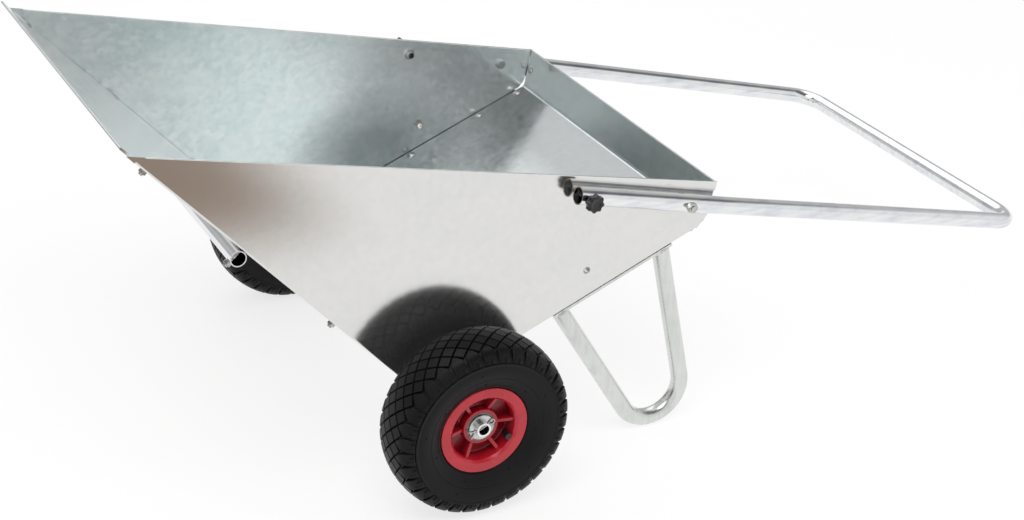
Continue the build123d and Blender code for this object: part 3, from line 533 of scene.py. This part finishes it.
# small ripples of weld metal laid along a curve
def weldTree(sizeRange, fineness):
    tree = bpy.data.node_groups.new("weldAlongCurve", "GeometryNodeTree")
    inputs = {
        "count": ("Ripples", "Int"), "size": ("Bead Radius", "Float"), "seed": ("Seed", "Int"),
        "finish": ("Finish", "Material"),
    }
    start, sockets = treeInputs(tree, "Path", inputs, "Bead")
    values = {"Curve": start["Path"], "Count": start["Ripples"]}
    points = addNode(tree, "GeometryNodeCurveToPoints", values, mode="COUNT").outputs
    values = {"Radius": start["Bead Radius"], "Subdivisions": fineness}
    drop = addNode(tree, "GeometryNodeMeshIcoSphere", values)
    values = {2: sizeRange[0], 3: sizeRange[1], "Seed": start["Seed"]}
    grow = addNode(tree, "FunctionNodeRandomValue", values, data_type="FLOAT")
    values = {
        "Points": points["Points"], "Instance": drop.outputs[0], "Rotation": points["Rotation"],
        "Scale": grow.outputs[1],
    }
    treeEnd(tree, addNode(tree, "GeometryNodeInstanceOnPoints", values), start["Finish"])
    return tree, sockets


def grown(source, group, sockets, values):
    carrier = bpy.data.objects.new("carrier", source)
    bpy.context.scene.collection.objects.link(carrier)
    step = carrier.modifiers.new("grow", "NODES")
    step.node_group = group
    for key, value in values.items():
        step[sockets[key]] = value
    mesh = bpy.data.meshes.new_from_object(carrier.evaluated_get(bpy.context.evaluated_depsgraph_get()))
    carrier.modifiers.clear()
    bpy.data.objects.remove(carrier)
    return mesh


ringGroup, ringSockets = ringTree()


def ringOf(mesh, count, phase, finish):
    return grown(mesh, ringGroup, ringSockets, {"count": count, "phase": phase, "finish": finish})


# wheels: their place is the frame's own, and the outer side is +Y before they are placed
wheelLow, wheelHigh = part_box("left_tyre")
axlePlace = (wheelLow + wheelHigh) / 2
flipped = Matrix.Scale(-1, 4, (0, 1, 0))
wheelMatrix = {
    "left": Matrix.Translation(axlePlace) @ flipped,
    "right": Matrix.Translation((axlePlace.x, -axlePlace.y, axlePlace.z)),
}

# tyre: sizes in metres; a pair is the radius and the distance from the wheel's middle plane
tyreShape = {
    "radius": 0.130, "shoulder": (0.1225, 0.037), "bulge": (0.093, 0.0425), "bead": (0.0637, 0.0278),
    "insideLine": [(0.0509, 0.0279), (0.0509, 0.0199), (0.0604, 0.0199), (0.0760, 0.0325), (0.0905, 0.0372),
                   (0.1010, 0.0350), (0.1080, 0.0310), (0.1140, 0.0180), (0.1165, 0.0)],
    "lugs": 34, "rows": 2, "rowStep": 0.0108, "groove": 0.0021, "depth": 0.0042, "chamfer": 0.0006,
    "rootShare": 0.3, "rootSink": 0.0012, "roundFrom": 0.030, "roundPull": 0.0085, "lugEnd": 0.1065,
    "crownSteps": 24, "roundSteps": 16, "wallSteps": 30, "stations": 44, "slices": 204, "smooth": 40.0,
}

# raised and sunk lines of the sidewall: each starts at a radius, then steps down the skin and heights on it
wallLines = {
    "floorTo": 0.034,
    "lugEdge": [(-0.004, -0.0016), (0, -0.0012), (0.0006, 0.0006), (0.0024, 0.0007), (0.0034, 0)],
    "markRadius": 0.0845, "mark": [(0, 0), (0.0005, -0.0004), (0.0010, 0)],
    "ribRadius": 0.0705,
    "rib": [(0, 0), (0.0010, 0.0011), (0.0040, 0.0014), (0.0056, 0.0009), (0.0062, -0.0004)],
}


def circleThrough(a, b, c):
    ax, ay, bx, by, cx, cy = *a, *b, *c
    d = 2 * (ax * (by - cy) + bx * (cy - ay) + cx * (ay - by))
    ux = ((ax**2 + ay**2) * (by - cy) + (bx**2 + by**2) * (cy - ay) + (cx**2 + cy**2) * (ay - by)) / d
    uy = ((ax**2 + ay**2) * (cx - bx) + (bx**2 + by**2) * (ax - cx) + (cx**2 + cy**2) * (bx - ax)) / d
    return (ux, uy), math.hypot(ax - ux, ay - uy)


# half of the tyre's outer line, from the crown over a rounded shoulder to the bead
def tyreLine():
    shape = tyreShape
    mirrored = (shape["shoulder"][0], -shape["shoulder"][1])
    (crownMid, _), crownArc = circleThrough(mirrored, (shape["radius"], 0), shape["shoulder"])
    (wallR, wallV), wallArc = circleThrough(shape["shoulder"], shape["bulge"], shape["bead"])
    line, wall = [], []
    last = shape["roundFrom"] / crownArc
    for step in range(shape["crownSteps"] + 1):
        angle = last * step / shape["crownSteps"]
        line.append((crownMid + crownArc * math.cos(angle), crownArc * math.sin(angle)))
    first = math.asin((shape["lugEnd"] - wallR) / wallArc)
    lowest = math.asin((shape["bead"][0] - wallR) / wallArc)
    for step in range(shape["wallSteps"] + 1):
        angle = first + (lowest - first) * step / shape["wallSteps"]
        wall.append((wallR + wallArc * math.sin(angle), wallV + wallArc * math.cos(angle)))
    a, d = Vector(line[-1]), Vector(wall[0])
    b = a + Vector((-math.sin(last), math.cos(last))) * shape["roundPull"]
    c = d - Vector((-math.cos(first), math.sin(first))) * shape["roundPull"]
    for step in range(1, shape["roundSteps"]):
        t = step / shape["roundSteps"]
        spot = a * (1 - t)**3 + b * 3 * t * (1 - t)**2 + c * 3 * t**2 * (1 - t) + d * t**3
        line.append((spot.x, spot.y))
    return [Vector(p) for p in line + wall]


skinLine = tyreLine()
skinSteps = [0.0]
for before, after in zip(skinLine, skinLine[1:]):
    skinSteps.append(skinSteps[-1] + (after - before).length)


# a spot on the tyre: distance from the crown over the skin, height above it
def skinAt(distance, height):
    side = -1 if distance < 0 else 1
    distance = min(abs(distance), skinSteps[-1] - 1e-9)
    index = max(i for i in range(len(skinSteps) - 1) if skinSteps[i] <= distance)
    share = (distance - skinSteps[index]) / (skinSteps[index + 1] - skinSteps[index])
    spot = skinLine[index].lerp(skinLine[index + 1], share)
    before = skinLine[max(index - 1, 0)]
    heading = (skinLine[min(index + 2, len(skinLine) - 1)] - before).normalized()
    if index == 0:
        heading = heading.lerp(Vector((0, 1)), 1 - share).normalized()
    spot = spot + Vector((heading.y, -heading.x)) * height
    return spot.x, spot.y * side


def distanceAt(radius):
    return next(s for s, p in zip(skinSteps, skinLine) if s > tyreShape["roundFrom"] and p.x <= radius)


def onTyre(across, distance, height):
    radius, side = skinAt(distance, height)
    angle = across / radius
    return (radius * math.cos(angle), side, radius * math.sin(angle))


def tyreCarcass():
    shape, lines = tyreShape, wallLines
    beadEnd = skinSteps[-1]
    heights = [(0, -shape["depth"]), (lines["floorTo"], -shape["depth"])]
    starts = {"lugEdge": shape["lugEnd"], "mark": lines["markRadius"], "rib": lines["ribRadius"]}
    for line, radius in starts.items():
        heights += [(distanceAt(radius) + along, height) for along, height in lines[line]]
    heights.append((beadEnd, 0))
    even = {beadEnd * i / shape["stations"] for i in range(shape["stations"] + 1)}
    half = []
    for stop in sorted({s for s, _ in heights} | even):
        at = max(i for i in range(len(heights) - 1) if heights[i][0] <= stop)
        (s0, h0), (s1, h1) = heights[at], heights[at + 1]
        share = min(1.0, (stop - s0) / (s1 - s0))
        half.append(skinAt(stop, h0 + (h1 - h0) * share))
    half += shape["insideLine"]
    loop = half + [(r, -v) for r, v in reversed(half[1:-1])]
    return turnedLoop("carcass", loop, shape["slices"])


# a diamond of tread between crossing grooves
def treadDiamond(middle):
    shape = tyreShape
    wide = math.pi * shape["radius"] / shape["lugs"]
    tall = shape["rowStep"]
    inset = wide * tall / math.hypot(wide, tall)
    groove, chamfer = shape["groove"] / 2, shape["chamfer"]
    root = (shape["groove"] * shape["rootShare"], -shape["depth"] - shape["rootSink"])
    points = []
    for gap, height in (root, (groove, -chamfer), (groove + chamfer, 0)):
        share = 1 - gap / inset
        for x, y in ((1, 0), (0, 1), (-1, 0), (0, -1)):
            points.append(onTyre(x * wide * share, middle + y * tall * share, height))
    points.append(onTyre(0, middle, 0))
    faces = band(0, 4) + band(4, 4) + [(8 + i, 8 + (i + 1) % 4, 12) for i in range(4)]
    faces.append((3, 2, 1, 0))
    return closedMesh("diamond", points, faces)


# shoulder lug: rows are row steps from the crown with shares of the full width, runs are metres with shares
lugShape = {
    "tipGap": 0.85, "tipShare": 0.04, "rows": [(2.45, 0.42), (3, 0.88), (3.3, 1)],
    "runs": [(0.042, 1), (0.047, 1)], "endShare": 0.97, "endGap": 0.0004, "endDrop": 0.0006, "sink": 0.0054,
    "edge": 0.0008, "edgeDrop": 0.0007, "edgeShare": 0.5, "notch": 0.0042,
    "ticks": [(-0.0034, 0.0072, 0.0012), (-0.0012, 0.0072, 0.0012), (0.0042, 0.0120, 0.0020)],
    "tickFoot": (-0.0008, 0.0006), "tickTop": (0.0007, 0.0003),
}


# pointed towards the crown, long over the shoulder, with three moulded ticks
def shoulderLug(side):
    shape, lug = tyreShape, lugShape
    step = shape["rowStep"]
    end = distanceAt(shape["lugEnd"]) - lug["endGap"]
    pitch = math.tau / shape["lugs"]
    rows = [(shape["rows"] * step + shape["groove"] * lug["tipGap"], lug["tipShare"])]
    rows += [(count * step, share) for count, share in lug["rows"]]
    rows += lug["runs"] + [((lug["runs"][-1][0] + end) / 2, 1), (end, lug["endShare"])]
    points, faces = [], []
    for index, (distance, share) in enumerate(rows):
        half = share * (pitch * skinAt(distance, 0)[0] - lug["notch"]) / 2
        edge = min(lug["edge"], half * lug["edgeShare"])
        top = -lug["endDrop"] if index in (0, len(rows) - 1) else 0.0
        low, rim = -lug["sink"], -lug["edgeDrop"]
        flat = half - edge
        section = [(-half, low), (-half, rim), (-flat, top), (0, top), (flat, top), (half, rim), (half, low)]
        points += [onTyre(x, side * distance, height) for x, height in section]
    size = len(section)
    for row in range(len(rows) - 1):
        faces += band(row * size, size)
    last = (len(rows) - 1) * size
    faces += [tuple(range(size)), tuple(range(last, last + size))]
    for x, low, high in lug["ticks"]:
        first = len(points)
        for height, wide in (lug["tickFoot"], lug["tickTop"]):
            corners = ((-wide, low), (wide, low), (wide, high), (-wide, high))
            points += [onTyre(x + dx, side * (end - ds), height) for dx, ds in corners]
        faces += band(first, 4) + [tuple(range(first, first + 4)), tuple(range(first + 4, first + 8))]
    return closedMesh("lug", points, faces)


# mould pips on the sidewall: rings are radius, count and phase, levels are shares of the size and heights
pipShape = {
    "size": 0.0013, "sides": 8, "levels": [(1.0, -0.0004), (1.0, 0.0004), (0.62, 0.0010)],
    "rings": [(0.0755, 7, 0.2), (0.0925, 5, 0.65)],
}


def wallPip(side, radius):
    distance = distanceAt(radius)
    count = pipShape["sides"]
    points = []
    for share, height in pipShape["levels"]:
        reach = pipShape["size"] * share
        for k in range(count):
            angle = k * math.tau / count
            down = distance + reach * math.sin(angle)
            points.append(onTyre(reach * math.cos(angle), side * down, height))
    faces = band(0, count) + band(count, count)
    faces += [tuple(range(count)), tuple(range(2 * count, 3 * count))]
    return closedMesh("pip", points, faces)


def makeTyres():
    shape = tyreShape
    rubber = finishes["tyre_rubber"]
    meshes = [tyreCarcass()]
    for row in range(-shape["rows"], shape["rows"] + 1):
        meshes.append(ringOf(treadDiamond(row * shape["rowStep"]), shape["lugs"], row % 2 / 2, rubber))
    for side in (-1, 1):
        meshes.append(ringOf(shoulderLug(side), shape["lugs"], 0.5, rubber))  # between the crown's diamonds
        for radius, count, phase in pipShape["rings"]:
            meshes.append(ringOf(wallPip(side, radius), count, phase, rubber))
    for side in ("left", "right"):
        tyre = pieceFrom(side + "TreadedTyre", meshes, wheelMatrix[side], rubber, shape["smooth"])
        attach(tyre, side + "_wheel")
        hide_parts(side + "_tyre")
    print("tyres:", len(tyre.data.polygons), "faces each")


makeTyres()


# rims: one turned section with rounded corners for each half, and six ribs
rimShape = {
    "through": 0.018, "seat": 0.02102, "hub": 0.0255, "outerHub": 0.019, "innerHub": 0.042, "bearing": 0.012,
    "split": 0.0001, "web": 0.005, "barrel": 0.0463, "bead": 0.0508, "faceInner": 0.050, "flange": 0.0635,
    "flangeIn": 0.028, "face": 0.031, "lipDrop": 0.001, "slices": 144, "smooth": 38.0,
    "flangeBackRound": 0.0012, "flangeRound": 0.0018, "faceRound": 0.0014, "lipRound": 0.002,
    "webRound": 0.0025, "hubRound": 0.0009, "seatRound": 0.0005,
    "ribs": 6, "ribThickness": 0.005, "ribTurn": -15.0, "ribHubDrop": 0.003, "ribFaceDrop": 0.005,
    "ribSink": 0.002, "ribFoot": 0.003, "ribRound": 0.0008, "ribRoundSteps": 2,
}


def rimHalf(hubReach):
    s = rimShape
    floor = hubReach - s["bearing"]
    return turnedLoop("rimHalf", roundedLoop([
        (s["through"], s["split"], 0), (s["bead"], s["split"], 0), (s["bead"], s["flangeIn"], 0),
        (s["flange"], s["flangeIn"], s["flangeBackRound"]), (s["flange"], s["face"], s["flangeRound"]),
        (s["faceInner"], s["face"], s["faceRound"]),
        (s["barrel"], s["flangeIn"] - s["lipDrop"], s["lipRound"]),
        (s["barrel"], s["web"], s["webRound"]), (s["hub"], s["web"], s["webRound"]),
        (s["hub"], hubReach, s["hubRound"]), (s["seat"], hubReach, s["seatRound"]),
        (s["seat"], floor, 0), (s["through"], floor, 0),
    ]), s["slices"])


def rimRib(hubReach):
    s = rimShape
    inner, outer = s["hub"] - s["ribSink"], s["barrel"] + s["ribSink"]
    side = [(inner, s["ribFoot"]), (outer, s["ribFoot"]), (outer, s["flangeIn"] - s["ribFaceDrop"]),
            (inner, min(hubReach, s["face"]) - s["ribHubDrop"])]
    half = s["ribThickness"] / 2
    points = [(r, v, -half) for r, v in side] + [(r, v, half) for r, v in side]
    mesh = closedMesh("rib", points, band(0, 4) + [(0, 1, 2, 3), (7, 6, 5, 4)])
    shape = bmesh.new()
    shape.from_mesh(mesh)
    bmesh.ops.bevel(shape, geom=shape.edges[:], offset=s["ribRound"], segments=s["ribRoundSteps"],
                    profile=0.5, affect="EDGES", clamp_overlap=True)
    shape.to_mesh(mesh)
    shape.free()
    return mesh


def makeRims():
    s = rimShape
    red = finishes["red_plastic"]
    turn = (s["ribTurn"] + tubTilt) / 360 * s["ribs"]
    outer = [rimHalf(s["outerHub"]), ringOf(rimRib(s["outerHub"]), s["ribs"], turn, red)]
    inner = [rimHalf(s["innerHub"]), ringOf(rimRib(s["innerHub"]), s["ribs"], turn + 0.5, red)]
    for side in ("left", "right"):
        outward = wheelMatrix[side]
        for half, meshes, matrix in (("outer", outer, outward), ("inner", inner, outward @ flipped)):
            rim = pieceFrom(f"{side}Rim{half.title()}", meshes, matrix, red, s["smooth"])
            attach(rim, side + "_wheel")
            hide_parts(f"{side}_rim_{half}_half")
    print("rims: four halves")


makeRims()


# star knobs: rounded lobes round a shallow cap, on a short neck
# levels are shares of the head's height and of the radius
knobShape = {
    "lobes": 8, "radius": 0.01325, "scallop": 0.0023, "scallopCurve": 0.75, "head": 0.011, "sides": 96,
    "levels": [(0.0, 0.80), (0.06, 0.92), (0.16, 1.0), (0.74, 1.0), (0.89, 0.965), (0.97, 0.89), (1.0, 0.78),
               (0.99, 0.52), (0.94, 0.48), (0.925, 0.20)],
    "roundInside": 0.6, "bore": 0.00402, "neck": 0.0065, "neckLength": 0.002, "neckFlare": 0.001,
    "neckOverlap": 0.001, "neckRound": 0.0008, "neckSides": 48, "smooth": 50.0,
}


def starKnob():
    s = knobShape
    n = s["sides"]
    points = [(0.0, 0.0, 0.0)]
    for height, share in s["levels"]:
        for k in range(n):
            angle = math.tau * k / n
            dip = (0.5 - 0.5 * math.cos(s["lobes"] * angle))**s["scallopCurve"]
            lobed = s["radius"] - s["scallop"] * dip
            radius = share * (lobed if share > s["roundInside"] else s["radius"])
            points.append((radius * math.cos(angle), height * s["head"], radius * math.sin(angle)))
    points.append((0.0, s["levels"][-1][0] * s["head"], 0.0))
    top = 1 + (len(s["levels"]) - 1) * n
    faces = [(0, 1 + i, 1 + (i + 1) % n) for i in range(n)]
    for level in range(len(s["levels"]) - 1):
        faces += band(1 + level * n, n)
    faces += [(top + i, top + (i + 1) % n, len(points) - 1) for i in range(n)]
    head = closedMesh("knobHead", points, faces)
    neck = turnedLoop("knobNeck", roundedLoop([
        (s["bore"], -s["neckLength"], 0), (s["neck"], -s["neckLength"], s["neckRound"]),
        (s["neck"] + s["neckFlare"], s["neckOverlap"], 0), (s["bore"], s["neckOverlap"], 0),
    ]), s["neckSides"])
    return [head, neck]


def makeKnobs():
    meshes = starKnob()
    turned = Matrix.Rotation(math.radians(tubTilt), 4, "Y")
    for side, way in (("left", -1), ("right", 1)):
        low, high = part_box(side + "_knob")
        base = min(abs(low.y), abs(high.y)) + knobShape["neckLength"]
        place = Matrix.Translation(((low.x + high.x) / 2, way * base, (low.z + high.z) / 2))
        place = place @ Matrix.Scale(way, 4, (0, 1, 0)) @ turned
        knob = pieceFrom(side + "StarKnob", meshes, place, finishes["black_plastic"], knobShape["smooth"])
        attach(knob, side + "_knob_screw")
        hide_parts(side + "_knob")
    print("knobs: two")


makeKnobs()


# welds between the leg tubes and their bars; root is the middle of a bar's lower face, way runs along it
weldShape = {
    "root": Vector((-0.024505, 0, 0.25654)), "way": Vector((0.9249, 0, 0.3801)).normalized(), "side": 0.2625,
    "spread": 0.0855, "tube": 0.0125, "lean": 9.42, "stand": 0.0004, "pathPoints": 48,
    "ripples": 34, "bead": 0.0021, "sizeRange": (0.75, 1.2), "fineness": 2, "seed": 7, "smooth": 60.0,
}


def weldRing(middle):
    s = weldShape
    curve = bpy.data.curves.new("weldPath", "CURVE")
    curve.dimensions = "3D"
    run = curve.splines.new("POLY")
    run.points.add(s["pathPoints"] - 1)
    long = s["way"] * (s["tube"] / math.cos(math.radians(s["lean"])) + s["stand"])
    across = Vector((0, s["tube"] + s["stand"], 0))
    for k, point in enumerate(run.points):
        angle = math.tau * k / s["pathPoints"]
        point.co = (*(middle + long * math.cos(angle) + across * math.sin(angle)), 1.0)
    run.use_cyclic_u = True
    return curve


def makeWelds():
    s = weldShape
    group, sockets = weldTree(s["sizeRange"], s["fineness"])
    zinc = finishes["zinc_tube"]
    meshes = []
    for side in (-1, 1):
        for end in (-1, 1):
            middle = s["root"] + s["way"] * (end * s["spread"]) + Vector((0, side * s["side"], 0))
            seed = s["seed"] + 2 * side + end
            values = {"count": s["ripples"], "size": s["bead"], "seed": seed, "finish": zinc}
            meshes.append(grown(weldRing(middle), group, sockets, values))
    welds = pieceFrom("legWelds", meshes, Matrix.Identity(4), zinc, s["smooth"])
    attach(welds, "tub")
    print("welds: four rings")


makeWelds()


# pale floor: white to the camera, with a faint shadow; what metal mirrors of it is brown on the nose's side
floorLook = {
    "size": 30.0, "paper": (0.90, 0.90, 0.90), "glow": 0.74, "shadowed": (0.36, 0.36, 0.36),
    "mirroredFloor": (0.97, 0.97, 0.965), "brownFloor": (0.31, 0.235, 0.18),
    "brownRun": (-0.93, -1.24), "noseRun": (-0.24, 0.0),
}


# true where a ray has been mirrored or has passed through
def bouncedRay(tree, rays):
    return math2(tree, "MAXIMUM", rays["Is Glossy Ray"], rays["Is Transmission Ray"])


def makeFloor():
    look = floorLook
    s = look["size"]
    mesh = bpy.data.meshes.new("floor")
    mesh.from_pydata([(-s, -s, 0), (s, -s, 0), (s, s, 0), (-s, s, 0)], [], [(0, 1, 2, 3)])
    floor = bpy.data.objects.new("floor", mesh)
    bpy.context.scene.collection.objects.link(floor)
    finish = bpy.data.materials.new("paperFloor")
    finish.use_nodes = True
    tree = finish.node_tree
    tree.nodes.clear()
    rays = addNode(tree, "ShaderNodeLightPath").outputs
    x, y, _ = split(tree, objectPlace(tree))
    brown = spread(tree, y, 0.0, 1.0, *look["brownRun"], "SMOOTHSTEP")
    nose = spread(tree, x, 1.0, 0.0, *look["noseRun"], "SMOOTHSTEP")
    tone = mixed(tree, times(tree, brown, nose), rgba(look["mirroredFloor"]), rgba(look["brownFloor"]))
    mirrored = addNode(tree, "ShaderNodeEmission", {"Color": tone, "Strength": 1.0}).outputs[0]
    white = rgba((1, 1, 1))
    glow = addNode(tree, "ShaderNodeEmission", {"Color": white, "Strength": look["glow"]}).outputs[0]
    shadowed = addNode(tree, "ShaderNodeBsdfDiffuse", {"Color": rgba(look["shadowed"])}).outputs[0]
    seen = addNode(tree, "ShaderNodeAddShader", {0: glow, 1: shadowed}).outputs[0]
    paper = addNode(tree, "ShaderNodeBsdfDiffuse", {"Color": rgba(look["paper"])}).outputs[0]
    pick = addNode(tree, "ShaderNodeMixShader", {0: bouncedRay(tree, rays), 1: paper, 2: mirrored}).outputs[0]
    pick = addNode(tree, "ShaderNodeMixShader", {0: rays["Is Camera Ray"], 1: pick, 2: seen}).outputs[0]
    addNode(tree, "ShaderNodeOutputMaterial", {0: pick})
    mesh.materials.append(finish)


# soft room: an even sky; metal mirrors a bright ceiling, a front that is dark higher up, and a grey back
roomLook = {
    "sky": 0.50, "white": 1.0, "overhead": 1.52, "overheadWay": (0.0, 0.42, 0.907),
    "overheadEdge": (0.70, 0.87),
    "frontLow": 0.86, "frontHigh": 0.16, "frontEdge": (0.48, 0.60), "back": 0.52, "backEdge": (-0.1, 0.35),
}


def makeRoom():
    look = roomLook
    sky = bpy.data.worlds.new("studio")
    sky.use_nodes = True
    tree = sky.node_tree
    tree.nodes.clear()
    rays = addNode(tree, "ShaderNodeLightPath").outputs
    way = addNode(tree, "ShaderNodeTexCoord").outputs["Generated"]
    near = addNode(tree, "ShaderNodeVectorMath", {0: way, 1: look["overheadWay"]}, operation="DOT_PRODUCT")
    lit = spread(tree, near.outputs["Value"], 0.0, 1.0, *look["overheadEdge"], "SMOOTHSTEP")
    heading = split(tree, way)
    front = spread(tree, heading[2], look["frontLow"], look["frontHigh"], *look["frontEdge"])
    room = mixedValue(tree, rising(tree, heading[1], look["backEdge"]), front, look["back"])
    mirrored = mixedValue(tree, lit, room, look["overhead"])
    strength = mixedValue(tree, bouncedRay(tree, rays), look["sky"], mirrored)
    strength = mixedValue(tree, rays["Is Camera Ray"], strength, look["white"])
    glow = addNode(tree, "ShaderNodeBackground", {"Color": rgba((1, 1, 1)), "Strength": strength})
    addNode(tree, "ShaderNodeOutputWorld", {0: glow.outputs[0]})
    bpy.context.scene.world = sky


# lamps: place, size, power and whether metal mirrors them
lampLook = {
    "target": (0, 0, 0.3),
    "keyBox": ((-1.2, -1.6, 3.4), (2.6, 2.0), 36.0, True),
    "fillBox": ((2.6, -2.2, 2.0), (1.8, 1.8), 14.0, False),
    "backBox": ((0.5, 2.8, 2.6), (3.0, 1.2), 12.0, False),
}


def makeLamp(name):
    place, size, power, mirrored = lampLook[name]
    lamp = bpy.data.lights.new(name, "AREA")
    lamp.shape = "RECTANGLE"
    lamp.size, lamp.size_y = size
    lamp.energy = power
    holder = bpy.data.objects.new(name, lamp)
    holder.location = place
    holder.visible_glossy = mirrored
    holder.rotation_euler = (Vector(lampLook["target"]) - Vector(place)).to_track_quat("-Z", "Y").to_euler()
    bpy.context.scene.collection.objects.link(holder)


cameraLook = {
    "place": (-1.2864, -2.3182, 1.5091), "right": (0.8880, -0.4586, 0.0338), "up": (0.1822, 0.4183, 0.8899),
    "forward": (0.4222, 0.7840, -0.4550), "lens": 68.698, "sensor": 36.0, "sight": 200.0,
}


def makeCamera():
    look = cameraLook
    lens = bpy.data.cameras.new("camera")
    lens.lens = look["lens"]
    lens.sensor_width = look["sensor"]
    lens.clip_end = look["sight"]
    eye = bpy.data.objects.new("camera", lens)
    columns = Vector(look["right"]), Vector(look["up"]), -Vector(look["forward"])
    eye.matrix_world = Matrix.Translation(look["place"]) @ Matrix(columns).transposed().to_4x4()
    bpy.context.scene.collection.objects.link(eye)
    bpy.context.scene.camera = eye


makeFloor()
makeRoom()
for name in ("keyBox", "fillBox", "backBox"):
    makeLamp(name)
makeCamera()
bpy.context.scene.view_settings.view_transform = "Standard"
print("stage ready")
